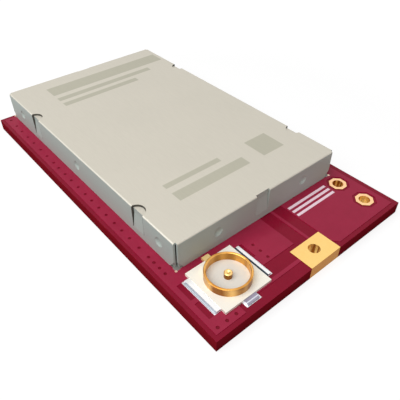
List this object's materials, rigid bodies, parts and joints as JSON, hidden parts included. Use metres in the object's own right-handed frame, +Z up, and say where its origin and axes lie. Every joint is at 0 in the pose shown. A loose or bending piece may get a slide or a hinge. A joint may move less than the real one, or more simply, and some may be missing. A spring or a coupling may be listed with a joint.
{
  "type": "rf transceiver module",
  "caption": "Radio transceiver module on a plug-in card: red board, folded shield can with lanced tongues, clip-on coaxial receptacle, gold edge pad and card contacts underneath",
  "frame": {"origin": "middle of the underside of the circuit board, at the bottom centre of the bounding box", "axes": "+Z up from the component side; +Y along the length, away from the edge with the coaxial receptacle; +X across the width, so that the receptacle is at the -X, -Y corner"},
  "size_m": [0.0148, 0.0252, 0.0028],
  "materials": {
    "solder_mask": "semi-gloss red solder mask over glass-fibre laminate",
    "gold_plating": "thin gold plating, softly reflecting",
    "fence_sheet": "plain tinned sheet",
    "lid_sheet": "satin nickel-silver sheet",
    "silver_plating": "silver plating, softly reflecting",
    "gold_contact": "gold flash",
    "white_insulator": "off-white moulded polymer",
    "solder": "reflowed solder",
    "white_print": "matt white ink",
    "dark_mould": "matt dark moulding compound",
    "tinned_leads": "matt tin",
    "crystal_can": "plated metal lid on ceramic",
    "tan_ceramic": "fired ceramic",
    "blue_ceramic": "fired ceramic"
  },
  "bodies": {
    "root": {"circuit_board": "solder_mask", "edge_pad": "gold_plating", "plated_eyelets": "gold_plating", "bottom_contacts": "gold_plating", "shield_lands": "gold_plating", "shield_fence": "fence_sheet", "shield_lid": "lid_sheet", "receptacle_pads": "gold_plating", "outer_contact": "silver_plating", "signal_contact": "gold_contact", "receptacle_body": "white_insulator", "receptacle_solder": "solder", "board_print": "white_print", "transceiver_ic": "dark_mould", "microcontroller": "dark_mould", "serial_memory": "dark_mould", "regulator_body": "dark_mould", "sensor_body": "dark_mould", "regulator_leads": "tinned_leads", "sensor_leads": "tinned_leads", "chip_end_caps": "tinned_leads", "crystal": "crystal_can", "rf_filter": "crystal_can", "capacitor_bodies": "tan_ceramic", "resistor_bodies": "dark_mould", "inductor_bodies": "blue_ceramic"}
  },
  "joints": []
}
